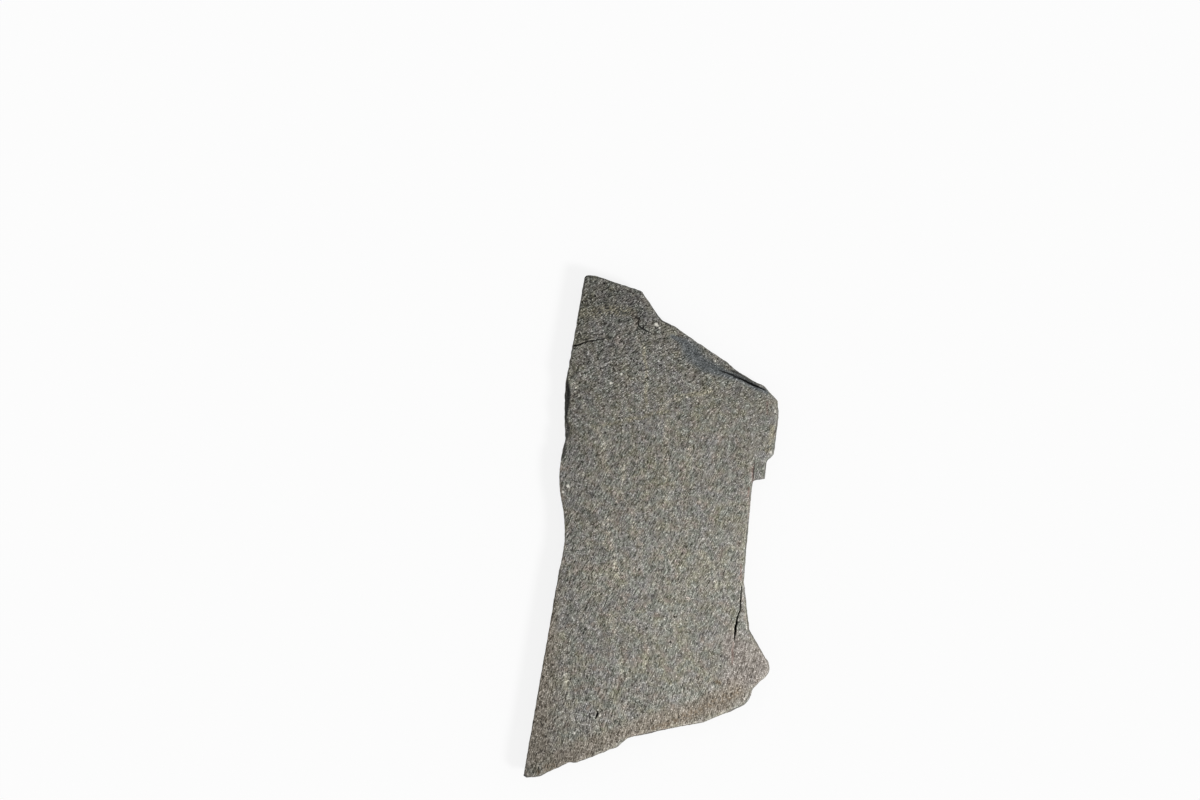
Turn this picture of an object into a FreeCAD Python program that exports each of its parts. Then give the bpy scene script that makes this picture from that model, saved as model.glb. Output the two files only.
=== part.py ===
"""Garden stepping stone: one irregular flagstone of riven grey quartz schist, lying on its bed.

The stone was split along its cleavage into a slab with two flat faces, the tread on top and the bed
below, and broken to its outline with a hammer. Millimetres, +Z up, +Y along the stone's length from its
pointed foot to its head. The origin is the middle of the stone's box, on the bed.
"""

import FreeCAD
import Part
import Sketcher
import os

SHEET = "Sizes"
STONE = "stepping_stone"

# The outline is measured as a mason would: the stone lies between four straightedges, and the walk along
# each side gives every corner an inset from that straightedge and a run from the corner before it.
SIZES = {
    # The slab. Its broken edge is widest at the belly, between the bed and the tread.
    "overall_length": 653.0,
    "overall_width": 332.0,
    "thickness": 35.0,
    "belly_height": 21.0,
    # How far the bed's rim stands in from the belly on each side.
    "undercut_left": 6.0,
    "undercut_right": 5.0,
    "undercut_head": 7.0,
    "undercut_foot": 8.0,
    # How far the tread's rim stands in from the belly on each side.
    "arris_left": 1.2,
    "arris_right": 3.5,
    "arris_head": 1.2,
    "arris_foot": 2.5,
    # The foot, from the tip to the right: a ragged break with a hump and a step.
    "tip_foot_run": 3.5,
    "foot_tip_inset": 1.5,
    "foot_tip_run": 17.0,
    "foot_hump_inset": 20.5,
    "foot_hump_run": 39.5,
    "foot_left_inset": 20.0,
    "foot_left_run": 10.0,
    "foot_step_inset": 40.0,
    "foot_step_run": 52.5,
    "foot_step_head_inset": 52.0,
    "foot_step_head_run": 13.5,
    "foot_middle_inset": 66.0,
    "foot_middle_run": 64.5,
    "foot_right_inset": 72.0,
    "foot_right_run": 33.0,
    # The lower right side, from the foot up: the heel flares out below the waist.
    "heel_low_inset": 54.5,
    "heel_low_run": 90.0,
    "heel_root_inset": 34.5,
    "heel_root_run": 25.0,
    "heel_foot_inset": 21.0,
    "heel_foot_run": 13.0,
    "heel_head_inset": 16.5,
    "heel_head_run": 28.0,
    "flare_inset": 38.5,
    "flare_run": 37.0,
    "waist_right_inset": 45.5,
    "waist_right_run": 64.0,
    # The upper right side, from the head down: the cleft edge, the shoulder, then a broken ledge.
    "cleft_brow_inset": 135.0,
    "cleft_brow_run": 66.5,
    "cleft_hollow_inset": 61.0,
    "cleft_hollow_run": 51.0,
    "cleft_end_inset": 19.5,
    "cleft_end_run": 25.5,
    "shoulder_inset": 1.5,
    "shoulder_run": 20.0,
    "shoulder_low_run": 18.0,
    "ledge_top_inset": 6.5,
    "ledge_top_run": 52.0,
    "ledge_root_inset": 16.5,
    "ledge_root_run": 9.0,
    "ledge_foot_inset": 18.5,
    "ledge_foot_run": 23.0,
    "ledge_corner_inset": 34.0,
    "ledge_corner_run": 2.0,
    # The head, from the left to the notch.
    "head_round_low_inset": 4.5,
    "head_round_low_run": 79.0,
    "head_round_top_run": 5.5,
    "crown_run": 8.0,
    "head_right_inset": 21.0,
    "head_right_run": 61.0,
    "notch_inset": 59.0,
    "notch_run": 27.0,
    # The left side, from the tip up: a straight edge, a hollow waist, a bulge, then a straight edge.
    "tip_side_run": 4.5,
    "waist_foot_inset": 46.0,
    "waist_foot_run": 265.5,
    "waist_head_inset": 48.0,
    "waist_head_run": 95.0,
    "bulge_head_inset": 50.0,
    "bulge_head_run": 58.0,
    "left_nick_inset": 54.0,
    "left_nick_run": 17.0,
    "left_bow_inset": 51.5,
    "left_bow_run": 55.0,
    # How far each round stretch stands off the straight line between its two corners.
    "heel_under_rise": 4.5,
    "heel_tip_rise": 6.9,
    "head_round_rise": 1.2,
    "bulge_rise": 2.7,
    "waist_rise": 6.1,
    # Spalls: shells of stone that flew off the tread's rim and left the print of a ball. Each has a run
    # from a corner to its middle, a length along the side, a reach into the tread and a depth down the
    # side.
    "cleft_spall_run": 52.0,
    "cleft_spall_length": 123.0,
    "cleft_spall_reach": 21.5,
    "cleft_spall_depth": 12.5,
    "cleft_tail_run": 22.0,
    "cleft_tail_length": 84.0,
    "cleft_tail_reach": 10.5,
    "cleft_tail_depth": 21.5,
    "shoulder_spall_run": 31.0,
    "shoulder_spall_length": 44.0,
    "shoulder_spall_reach": 8.0,
    "shoulder_spall_depth": 10.0,
    "bow_spall_run": 57.0,
    "bow_spall_length": 78.0,
    "bow_spall_reach": 8.0,
    "bow_spall_depth": 20.0,
    "nick_spall_run": 13.0,
    "nick_spall_length": 35.0,
    "nick_spall_reach": 8.0,
    "nick_spall_depth": 9.0,
    # The ledge: its top leaf has split away. The cut runs clear of the stone's side.
    "ledge_drop": 3.0,
    "cut_clearance": 5.0,
    # The crack beside the waist: hairline at both ends and gaping in between.
    "crack_inset": 5.5,
    "crack_head_drop": 7.0,
    "crack_neck_run": 35.0,
    "crack_neck_shift": 2.0,
    "crack_neck_width": 1.2,
    "crack_gape_run": 15.0,
    "crack_gape_shift": 5.5,
    "crack_gape_width": 3.2,
    "crack_foot_run": 38.0,
    "crack_foot_shift": 8.0,
    "crack_depth": 18.0,
}

# The corners of each walk, in the order that the runs add up.
FOOT = (
    "tip_foot",
    "foot_tip",
    "foot_hump",
    "foot_left",
    "foot_step",
    "foot_step_head",
    "foot_middle",
    "foot_right",
)
LOWER_RIGHT = (
    "heel_low",
    "heel_root",
    "heel_foot",
    "heel_head",
    "flare",
    "waist_right",
)
UPPER_RIGHT = (
    "cleft_brow",
    "cleft_hollow",
    "cleft_end",
    "shoulder",
    "shoulder_low",
    "ledge_top",
    "ledge_root",
    "ledge_foot",
    "ledge_corner",
)
HEAD = (
    "head_round_low",
    "head_round_top",
    "crown",
    "head_right",
    "notch",
)
LEFT = (
    "tip_side",
    "waist_foot",
    "waist_head",
    "bulge_head",
    "left_nick",
    "left_bow",
)

# Corners that turn from one side to the next lean in with both sides.
TURNS = {
    "tip_foot": "left",
    "tip_side": "foot",
    "heel_low": "foot",
    "heel_root": "foot",
    "shoulder": "head",
    "cleft_end": "head",
    "cleft_hollow": "head",
    "cleft_brow": "head",
    "notch": "right",
    "head_round_low": "left",
    "head_round_top": "left",
    "crown": "left",
}

# Round stretches of the outline, by the corner that each starts from going round to the left. A hollow
# one curves into the stone.
ARCS = {
    "heel_low": ("heel_under_rise", "bulging"),
    "heel_foot": ("heel_tip_rise", "bulging"),
    "head_round_top": ("head_round_rise", "bulging"),
    "bulge_head": ("bulge_rise", "bulging"),
    "waist_head": ("waist_rise", "hollow"),
}

# The side that each spall lies along, from one corner to the next going round to the right.
SPALLS = {
    "cleft_spall": ("cleft_brow", "cleft_hollow"),
    "cleft_tail": ("cleft_hollow", "cleft_end"),
    "shoulder_spall": ("shoulder_low", "ledge_top"),
    "bow_spall": ("left_nick", "left_bow"),
    "nick_spall": ("left_nick", "left_bow"),
}

# The two ends of an edge and the origin, as a sketch numbers them.
START, END = 1, 2
ORIGIN = (-1, 1)

# Ends nearer than this are one point, in millimetres.
SAME_POINT = 1e-6

# Cubic millimetres in a litre.
LITRE = 1e6


def size(name):
    """A size of the sheet, as an expression."""
    return f"{SHEET}.{name}"


def add_sheet(doc):
    """The spreadsheet of sizes, one aliased cell for each."""
    sheet = doc.addObject("Spreadsheet::Sheet", SHEET)
    for row, (name, value) in enumerate(SIZES.items(), start=1):
        sheet.set(f"A{row}", name)
        sheet.set(f"B{row}", str(value))
        sheet.setAlias(f"B{row}", name)
    doc.recompute()
    return sheet


def walk(corners, side):
    """The corners of one side: name to run, inset and the sides that the corner leans in with."""
    found = {}
    run = "0"
    for corner in corners:
        run = f"{run} + {size(corner + '_run')}"
        inset = size(corner + "_inset") if corner + "_inset" in SIZES else "0"
        found[corner] = (run, inset, {side, TURNS.get(corner, side)})
    return found


def outline():
    """Every corner, going round to the left from the tip: name to x, y and the sides it leans in with."""
    length, width = size("overall_length"), size("overall_width")
    corners = {}
    for name, (run, inset, sides) in walk(FOOT, "foot").items():
        corners[name] = (run, inset, sides)
    for name, (run, inset, sides) in walk(LOWER_RIGHT, "right").items():
        corners[name] = (f"{width} - {inset}", run, sides)
    for name, (run, inset, sides) in reversed(walk(UPPER_RIGHT, "right").items()):
        corners[name] = (f"{width} - {inset}", f"{length} - ({run})", sides)
    for name, (run, inset, sides) in reversed(walk(HEAD, "head").items()):
        corners[name] = (run, f"{length} - {inset}", sides)
    for name, (run, inset, sides) in reversed(walk(LEFT, "left").items()):
        corners[name] = (inset, run, sides)
    return corners


def leaning(corner, lean):
    """A corner's x and y once each of its sides has leaned in by the size that starts with lean."""
    x, y, sides = corner
    if lean:
        steps = {"left": "+", "right": "-", "foot": "+", "head": "-"}
        for side in sorted(sides):
            step = f" {steps[side]} {size(lean + '_' + side)}"
            if side in ("left", "right"):
                x += step
            else:
                y += step
    return x, y


def span(start, end):
    """The straight distance between two points, as an expression."""
    return f"hypot({end[0]} - ({start[0]}); {end[1]} - ({start[1]}))"


def circle_radius(chord, rise):
    """The radius of the circle that stands off its chord by a rise, as an expression."""
    return f"({chord})^2 / (8 * {rise}) + {rise} / 2"


def place_point(sketch, edge, end, point, name):
    """Fixes one end of a sketch edge at a point given by two expressions."""
    for axis, expression in zip("XY", point):
        value = getattr(sketch.getPoint(edge, end), axis.lower())
        constraint = Sketcher.Constraint("Distance" + axis, *ORIGIN, edge, end, value)
        sketch.renameConstraint(sketch.addConstraint(constraint), f"{name}_{axis.lower()}")
        sketch.setExpression(f"Constraints.{name}_{axis.lower()}", expression)


def flat_sketch(body, name, height):
    """An empty sketch that lies flat at a height over the bed."""
    plane = next(f for f in body.Origin.OriginFeatures if f.Role == "XY_Plane")
    sketch = body.newObject("Sketcher::SketchObject", name)
    sketch.AttachmentSupport = [(plane, "")]
    sketch.MapMode = "FlatFace"
    sketch.setExpression("AttachmentOffset.Base.z", height)
    return sketch


def arc_through(start, end, rise, form):
    """The arc from start to end, going round to the left: bulging away from the stone or hollow."""
    chord = end - start
    outward = FreeCAD.Vector(chord.y, -chord.x, 0).normalize()
    middle = (start + end) / 2 + outward * (rise if form == "bulging" else -rise)
    return Part.Arc(start, middle, end)


def draw_closed(sketch, points, arcs):
    """Draws a closed line through points named and given by expressions, and fixes it."""
    names = list(points)
    following = dict(zip(names, names[1:] + names[:1]))
    values = {n: FreeCAD.Vector(*map(sketch.evalExpression, points[n]), 0) for n in names}
    ends = {}
    for name in names:
        start, end = values[name], values[following[name]]
        if name in arcs:
            rise, form = arcs[name]
            edge = sketch.addGeometry(arc_through(start, end, sketch.evalExpression(size(rise)), form))
        else:
            edge = sketch.addGeometry(Part.LineSegment(start, end))
        forward = sketch.getPoint(edge, START).isEqual(start, SAME_POINT)
        ends[name] = (edge, START, END) if forward else (edge, END, START)
    for name in names:
        edge, first, last = ends[name]
        after, after_first, _ = ends[following[name]]
        sketch.addConstraint(Sketcher.Constraint("Coincident", edge, last, after, after_first))
        place_point(sketch, edge, first, points[name], name)
    for name, (rise, _) in arcs.items():
        radius = circle_radius(span(points[name], points[following[name]]), size(rise))
        value = sketch.evalExpression(radius)
        index = sketch.addConstraint(Sketcher.Constraint("Radius", ends[name][0], value))
        sketch.renameConstraint(index, f"{name}_radius")
        sketch.setExpression(f"Constraints.{name}_radius", radius)


def add_slab(body, corners):
    """The broken slab: the bed, the belly and the tread joined by straight facets."""
    levels = (
        ("bed", "0", "undercut"),
        ("belly", size("belly_height"), None),
        ("tread", size("thickness"), "arris"),
    )
    sections = []
    for name, height, lean in levels:
        sketch = flat_sketch(body, f"{name}_outline", height)
        draw_closed(sketch, {n: leaning(corner, lean) for n, corner in corners.items()}, ARCS)
        sections.append(sketch)
    body.Document.recompute()
    slab = body.newObject("PartDesign::AdditiveLoft", "slab")
    slab.Profile = sections[0]
    slab.Sections = sections[1:]
    slab.Ruled = True
    return slab


def add_spall(body, name, start, end):
    """A ball-shaped print in the tread's rim, along the side that runs from start to end."""
    run, length, reach, depth = (size(f"{name}_{part}") for part in ("run", "length", "reach", "depth"))
    # The ball meets the tread in one circle and the side in another, with the same chord along the side.
    across = circle_radius(length, reach)
    down = circle_radius(length, depth)
    off_side = f"({across} - {reach})"
    lift = f"({down} - {depth})"
    along_x = f"({end[0]} - ({start[0]})) / {span(start, end)}"
    along_y = f"({end[1]} - ({start[1]})) / {span(start, end)}"
    ball = body.newObject("PartDesign::SubtractiveSphere", name)
    ball.setExpression("Radius", f"hypot({across}; {lift})")
    ball.setExpression("Placement.Base.x", f"{start[0]} + {along_x} * {run} - {along_y} * {off_side}")
    ball.setExpression("Placement.Base.y", f"{start[1]} + {along_y} * {run} + {along_x} * {off_side}")
    ball.setExpression("Placement.Base.z", f"{size('thickness')} + {lift}")
    return ball


def add_cut(body, name, points, depth):
    """A straight-sided cut into the tread, of a closed outline given by named points."""
    sketch = flat_sketch(body, name + "_outline", size("thickness"))
    draw_closed(sketch, points, {})
    body.Document.recompute()
    cut = body.newObject("PartDesign::Pocket", name)
    cut.Profile = sketch
    cut.setExpression("Length", size(depth))
    return cut


def ledge_points(corners):
    """The split leaf's outline: from the ledge's inner corner to its root, and past the stone's side."""
    left, low, _ = corners["ledge_corner"]
    _, above, _ = corners["ledge_root"]
    below = f"{low} - {size('cut_clearance')}"
    right = f"{size('overall_width')} + {size('cut_clearance')}"
    return {
        "low_left": (left, below),
        "low_right": (right, below),
        "top_right": (right, above),
        "top_left": (left, above),
    }


def crack_points(corners):
    """The crack's outline: a point at each end, a narrow neck and a wide gape, each given by its width."""
    waist_x, waist_y, _ = corners["waist_right"]
    head_x = f"{waist_x} - {size('crack_inset')}"
    head_y = f"{waist_y} - {size('crack_head_drop')}"
    neck_x = f"{head_x} - {size('crack_neck_shift')}"
    neck_y = f"{head_y} - {size('crack_neck_run')}"
    gape_x = f"{head_x} - {size('crack_gape_shift')}"
    gape_y = f"{neck_y} - {size('crack_gape_run')}"
    foot_x = f"{head_x} - {size('crack_foot_shift')}"
    foot_y = f"{gape_y} - {size('crack_foot_run')}"
    half_neck = f"{size('crack_neck_width')} / 2"
    half_gape = f"{size('crack_gape_width')} / 2"
    return {
        "head": (head_x, head_y),
        "neck_left": (f"{neck_x} - {half_neck}", neck_y),
        "gape_left": (f"{gape_x} - {half_gape}", gape_y),
        "foot": (foot_x, foot_y),
        "gape_right": (f"{gape_x} + {half_gape}", gape_y),
        "neck_right": (f"{neck_x} + {half_neck}", neck_y),
    }


def add_stone(doc):
    """The whole stone: the slab, the spalls of its rim, the split ledge and the crack."""
    body = doc.addObject("PartDesign::Body", STONE)
    body.Label = STONE
    corners = outline()
    features = [add_slab(body, corners)]
    for name, (start, end) in SPALLS.items():
        features.append(add_spall(body, name, corners[start], corners[end]))
    features.append(add_cut(body, "ledge", ledge_points(corners), "ledge_drop"))
    features.append(add_cut(body, "crack", crack_points(corners), "crack_depth"))
    body.setExpression("Placement.Base.x", f"-{size('overall_width')} / 2")
    body.setExpression("Placement.Base.y", f"-{size('overall_length')} / 2")
    doc.recompute()
    return body, features


def check(doc, body, features):
    """Stops the build if a feature failed, cut nothing, or left the stone broken."""
    for item in doc.Objects:
        if {"Invalid", "Error"} & set(item.State):
            raise RuntimeError(f"{item.Name} failed: {item.State}")
    for before, after in zip(features, features[1:]):
        if not after.Shape.Volume < before.Shape.Volume:
            raise RuntimeError(f"{after.Name} cuts nothing")
    if body.Shape.isNull() or not body.Shape.isValid() or len(body.Shape.Solids) != 1:
        raise RuntimeError("the stone isn't one valid solid")


def main():
    doc = FreeCAD.newDocument("garden_stepping_stone")
    add_sheet(doc)
    body, features = add_stone(doc)
    check(doc, body, features)
    os.makedirs("parts", exist_ok=True)
    body.Shape.exportStep(f"parts/{STONE}.step")
    box = body.Shape.optimalBoundingBox()
    print(f"{STONE}: {box.XLength:.1f} x {box.YLength:.1f} x {box.ZLength:.1f} mm")
    print(f"volume {body.Shape.Volume / LITRE:.3f} litres, {len(body.Shape.Faces)} faces")


main()
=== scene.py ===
# %% [markdown]
# # A riven stepping stone
#
# This lesson dresses one garden stepping stone: a slab of grey schist, split along its cleavage and broken
# to shape with a hammer. The solid that it starts from already has the true outline, the leaning broken
# rim, the spalls, the ledge and the crack. What it lacks is what the hand feels: the sugary grain of the
# tread, the torn strata of the rim, the pits, and the colours of the weathered skin.

# %% Load the solid
import bpy
import math
import random
import numpy as np
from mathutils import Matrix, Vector, noise
from types import SimpleNamespace


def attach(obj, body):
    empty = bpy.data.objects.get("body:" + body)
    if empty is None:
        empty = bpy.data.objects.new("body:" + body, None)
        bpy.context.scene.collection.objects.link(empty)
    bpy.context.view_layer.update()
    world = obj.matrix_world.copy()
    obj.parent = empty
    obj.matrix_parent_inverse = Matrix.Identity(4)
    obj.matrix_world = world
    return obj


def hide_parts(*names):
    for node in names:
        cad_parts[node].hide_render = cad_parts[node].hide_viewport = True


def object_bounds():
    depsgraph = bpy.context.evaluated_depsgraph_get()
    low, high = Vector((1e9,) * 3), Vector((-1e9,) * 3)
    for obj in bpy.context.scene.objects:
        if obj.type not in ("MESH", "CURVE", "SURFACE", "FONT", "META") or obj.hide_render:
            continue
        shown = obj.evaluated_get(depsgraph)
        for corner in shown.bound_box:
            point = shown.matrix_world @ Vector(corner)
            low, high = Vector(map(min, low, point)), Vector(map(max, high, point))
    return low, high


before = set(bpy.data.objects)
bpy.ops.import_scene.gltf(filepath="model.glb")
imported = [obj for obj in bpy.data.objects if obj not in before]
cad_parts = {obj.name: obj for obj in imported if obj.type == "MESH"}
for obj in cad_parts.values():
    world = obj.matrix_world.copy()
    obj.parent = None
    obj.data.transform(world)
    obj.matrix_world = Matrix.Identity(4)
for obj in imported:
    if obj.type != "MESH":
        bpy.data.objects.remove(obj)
cad_low, cad_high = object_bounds()
print("solid box, metres:", tuple(cad_low), tuple(cad_high))

MM = 0.001
NODE = "stepping_stone"
TREAD = cad_high.z

# %% [markdown]
# ## The blank
#
# A stone carver would say that the solid is the blank, and everything else is tooling. The solid itself is
# kept as it is, so the tooling is done on a copy. Its triangles come loose, each with points of its own, and
# a modifier would pull them apart. Merging the points that lie together makes them one closed skin.

# %% Copy the solid and merge it into one skin
WELD = 0.001 * MM


def work_on(piece):
    """Selects one piece and nothing else, so that the next operator acts on it alone."""
    bpy.ops.object.select_all(action="DESELECT")
    piece.select_set(True)
    bpy.context.view_layer.objects.active = piece


def apply_modifier(piece, kind, **settings):
    """Adds a modifier to a piece, sets it up and applies it."""
    modifier = piece.modifiers.new(kind.lower(), kind)
    for name, value in settings.items():
        setattr(modifier, name, value)
    work_on(piece)
    bpy.ops.object.modifier_apply(modifier=modifier.name)


stone = bpy.data.objects.new("riven_stone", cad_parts[NODE].data.copy())
bpy.context.scene.collection.objects.link(stone)
stone.data.materials.clear()
work_on(stone)
bpy.ops.object.mode_set(mode="EDIT")
bpy.ops.mesh.select_all(action="SELECT")
bpy.ops.mesh.remove_doubles(threshold=WELD)
bpy.ops.object.mode_set(mode="OBJECT")
print("faces of the blank:", len(stone.data.polygons))

# %% [markdown]
# ## Hammer scars
#
# Each blow of the hammer springs a shell-shaped flake off the stone and leaves a shallow bowl. The left edge
# has three short ones at its top, and the lower half of the rim has them all round, because the stone was
# struck from its bed. A bowl could be sculpted, but pressing a ball into the blank and cutting it away is
# exact and quick. The blows on the rim are found by looking at the stone from all sides in turn.

# %% Knock off the flakes
LEFT_FLAKES = (
    ((-117.3, 170, 41), (13.0, 31, 18)),
    ((-112.6, 125, 39), (7.0, 14, 13)),
    ((-117.0, 101, 39), (7.0, 16, 11)),
)
BLOWS = 34
BLOW_SEED = 3
BLOW_HEIGHT = (3, 13)
BLOW_RADIUS = (16, 30)
BLOW_DEPTH = (1.5, 3.0)
BALL_ROUNDS = 4
OUTSIDE = 0.6


def knock_off(piece, middle, radii):
    """Cuts a ball-shaped bowl out of a piece."""
    bpy.ops.object.select_all(action="DESELECT")
    bpy.ops.mesh.primitive_ico_sphere_add(
        subdivisions=BALL_ROUNDS,
        radius=1,
        location=middle,
        scale=radii,
    )
    ball = bpy.context.object
    apply_modifier(piece, "BOOLEAN", operation="DIFFERENCE", object=ball, solver="EXACT")
    bpy.data.objects.remove(ball)


for middle, radii in LEFT_FLAKES:
    knock_off(stone, Vector(middle) * MM, Vector(radii) * MM)
luck = random.Random(BLOW_SEED)
for blow in range(BLOWS):
    angle = math.tau * (blow + luck.random()) / BLOWS
    height = luck.uniform(*BLOW_HEIGHT) * MM
    radius = luck.uniform(*BLOW_RADIUS) * MM
    depth = luck.uniform(*BLOW_DEPTH) * MM
    away = Vector((math.cos(angle), math.sin(angle), 0))
    hit, place, normal, _ = stone.ray_cast(away * OUTSIDE + Vector((0, 0, height)), -away)
    if hit:
        knock_off(stone, place + normal * (radius - depth), (radius, radius, radius))
print("faces after", BLOWS, "blows:", len(stone.data.polygons))

# %% [markdown]
# ## An even skin
#
# The blank's faces are long thin triangles, and the finer tooling needs small even ones. Subdividing the
# triangles would keep their bad shapes, so the skin is rebuilt from voxels, which gives even squares
# everywhere. The voxels are about as large as the smallest grain that should cast a shadow. A few rounds of
# smoothing then take the steps off the edges, as wear does.

# %% Rebuild the skin from voxels
VOXEL = 1.62 * MM
WORN_SHARE = 0.5
WORN_ROUNDS = 4

apply_modifier(stone, "REMESH", mode="VOXEL", voxel_size=VOXEL, use_smooth_shade=True)
apply_modifier(stone, "SMOOTH", factor=WORN_SHARE, iterations=WORN_ROUNDS)
print("faces after the rebuild:", len(stone.data.polygons))

# %% [markdown]
# ## Where the tooling goes
#
# The tread, the rim and the bed are worked differently, so each gets a vertex group, as a carver chalks
# out areas. The weights follow the height of a point, so they fade smoothly over the edges: a border that
# followed the little squares would come out as a row of beads. The bed rests on the ground and is hardly
# seen, so most of its faces are given back: they serve better on the tread.

# %% Chalk out the tread, the rim and the bed
BED_LOOKS_DOWN = -0.9
BED_DEPTH = 0.6 * MM
BED_SHARE_KEPT = 0.06
TREAD_FADE = (TREAD - 11 * MM, TREAD - 2 * MM)
RIM_FADE = (TREAD - 1 * MM, TREAD - 5 * MM)
FOOT_FADE = (0.0, 3 * MM)


def points_of(piece):
    """The places and normals of a piece's points, one row for each."""
    count = len(piece.data.vertices)
    places, normals = np.empty(count * 3), np.empty(count * 3)
    piece.data.vertices.foreach_get("co", places)
    piece.data.vertex_normals.foreach_get("vector", normals)
    return places.reshape(-1, 3), normals.reshape(-1, 3)


def fade(values, ends):
    """0 before the first end, 1 past the second, and a soft step in between."""
    part = np.clip((values - ends[0]) / (ends[1] - ends[0]), 0, 1)
    return part * part * (3 - 2 * part)


def chalk(piece, name, weights):
    """Writes a vertex group with a weight for every point of a piece."""
    group = piece.vertex_groups.get(name) or piece.vertex_groups.new(name=name)
    rounded = np.round(np.clip(weights, 0, 1), 2)
    for weight in np.unique(rounded):
        group.add(np.flatnonzero(rounded == weight).tolist(), float(weight), "REPLACE")
    return name


places, normals = points_of(stone)
on_bed = (normals[:, 2] < BED_LOOKS_DOWN) & (places[:, 2] < BED_DEPTH)
apply_modifier(
    stone,
    "DECIMATE",
    ratio=1 - np.mean(on_bed) * (1 - BED_SHARE_KEPT),
    vertex_group=chalk(stone, "bed", on_bed),
    use_collapse_triangulate=False,
)
places, normals = points_of(stone)
chalk(stone, "tread", fade(places[:, 2], TREAD_FADE))
chalk(stone, "rim", fade(places[:, 2], RIM_FADE) * fade(places[:, 2], FOOT_FADE))
print("chalked out", len(places), "points")

# %% [markdown]
# ## Which faces are fresh
#
# The scars of the flakes are younger than the weathered tread, and the finish paints shadow on some of them:
# black on the upper flake at the left, which faces away from the lamp, and grey on the two below it. They are
# found now, while the tread is still flat: a point belongs to a scar if it lies below the tread and its face
# slopes. The share is stored as an attribute, which later steps carry along and the finish can read.
# The steep faces of the rim are stored in the same way.

# %% Store the fresh breaks
SCAR_SLOPES = (0.97, 0.9)
SCAR_STEEPEST = (0.2, 0.35)
SCAR_DEPTH = (TREAD - 0.3 * MM, TREAD - 1.2 * MM)
TORN_SLOPES = (0.75, 0.35)


def store(piece, name, values):
    """Stores a number for every point of a piece, under a name that a finish can read."""
    attribute = piece.data.attributes.get(name) or piece.data.attributes.new(name, "FLOAT", "POINT")
    attribute.data.foreach_set("value", np.asarray(values, np.float32))
    print("stored", name, "with a mean of", round(float(np.mean(values)), 3))


lean = normals[:, 2]
scars = fade(lean, SCAR_SLOPES) * fade(lean, SCAR_STEEPEST) * fade(places[:, 2], SCAR_DEPTH)
store(stone, "scars", scars)
store(stone, "torn_face", fade(lean, TORN_SLOPES))

# %% [markdown]
# ## Finer squares where the stone is cracked
#
# A crack is thinner than the squares of the skin, so it would come out as a row of teeth. A knife can't cut
# it here, and a boolean would leave slivers. Instead the edges of the faces along each crack and pit are cut
# in two more places, so that the carving further down has points to move. Each line is a row of points on the
# stone: across, up and half the width there, in millimetres. A pit or a grain has its place and its radius.

# %% Mark the cracks
CRACK = (
    (116.8, -76.3, 0.5),
    (116.1, -87.0, 0.75),
    (115.1, -98.0, 0.75),
    (114.7, -108.7, 0.75),
    (112.7, -112.7, 0.75),
    (110.5, -119.6, 1.1),
    (109.5, -127.2, 1.4),
    (108.2, -137.0, 1.3),
    (107.6, -143.0, 0.8),
    (107.5, -149.0, 0.3),
)
HAIRLINE = (
    (-99.6, 234.0, 1.2),
    (-90.0, 237.1, 1.1),
    (-86.0, 239.0, 0.9),
    (-67.6, 242.6, 0.8),
    (-50.0, 245.6, 0.5),
)
FLAKE_LINE = (
    (-10.5, 275.5, 0.5),
    (-14.3, 271.8, 0.7),
    (-17.4, 264.4, 0.9),
    (-16.1, 259.7, 1.2),
    (-10.5, 256.0, 1.1),
    (-4.0, 252.7, 0.9),
    (3.0, 249.0, 0.4),
)
LEDGE_LINE = ((134.0, 88, 0.4), (132.6, 75, 0.7), (131.8, 62, 0.5))
NICK = ((-69.2, -239.2, 0.9), (-70.2, -243.4, 1.6), (-72.0, -248.0, 0.9))
CLEFT_LINE = (
    (88.0, 202.4, 0.5),
    (98.0, 199.2, 1.1),
    (116.0, 191.4, 1.5),
    (132.0, 183.8, 1.4),
    (147.0, 176.8, 0.6),
)
GROOVES = {
    "crack": (CRACK, 11 * MM),
    "hairline": (HAIRLINE, 3 * MM),
    "flake_line": (FLAKE_LINE, 2.4 * MM),
    "ledge_line": (LEDGE_LINE, 0.9 * MM),
    "nick": (NICK, 5 * MM),
    "cleft_line": (CLEFT_LINE, 5 * MM),
}
print("grooves to carve:", len(GROOVES))

# %% Mark the pits and the white grains
PITS = (
    (89.7, -167.3, 1.6),
    (-85.8, -132.2, 2.4),
    (29.9, -116.6, 1.8),
    (24.7, -149.1, 1.6),
    (-49.0, 204.6, 1.8),
    (-88.0, -137.5, 1.6),
    (-164.2, -322.5, 2.8),
)
QUARTZ = (
    (6.4, 262.4, 2.2),
    (8.8, 261.0, 1.6),
    (11.2, 258.2, 1.3),
    (-52.4, 186.2, 1.8),
    (-38.3, 198.1, 1.5),
    (-107.9, 52.5, 2.0),
    (-114.4, 44.7, 1.6),
    (-66.6, -245.3, 1.6),
    (83.5, 214.7, 1.3),
    (155.2, 96.4, 2.0),
    (161.0, 148.7, 1.5),
    (-99.6, -268.5, 1.4),
)
print("pits:", len(PITS), "white grains:", len(QUARTZ))

# %% Divide the faces along them
FINE_REACH = 2.6 * MM
FINE_CUTS = 2
CARVING_REACH = 14 * MM
MOST_TRIANGLES = 200000


def measure_line(flat, line):
    """How far flat places lie from a line, and half the line's width beside each, in metres."""
    nearest = np.full(len(flat), np.inf)
    width = np.zeros(len(flat))
    for first, second in zip(line, line[1:]):
        start, end = np.array(first) * MM, np.array(second) * MM
        step = end[:2] - start[:2]
        part = np.clip((flat - start[:2]) @ step / (step @ step), 0, 1)
        gap = np.linalg.norm(flat - start[:2] - part[:, None] * step, axis=1)
        width = np.where(gap < nearest, start[2] + part * (end[2] - start[2]), width)
        nearest = np.minimum(nearest, gap)
    return nearest, width


def measure_spot(flat, spot):
    """How far flat places lie from one spot, in metres."""
    return np.linalg.norm(flat - np.array(spot[:2]) * MM, axis=1)


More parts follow.
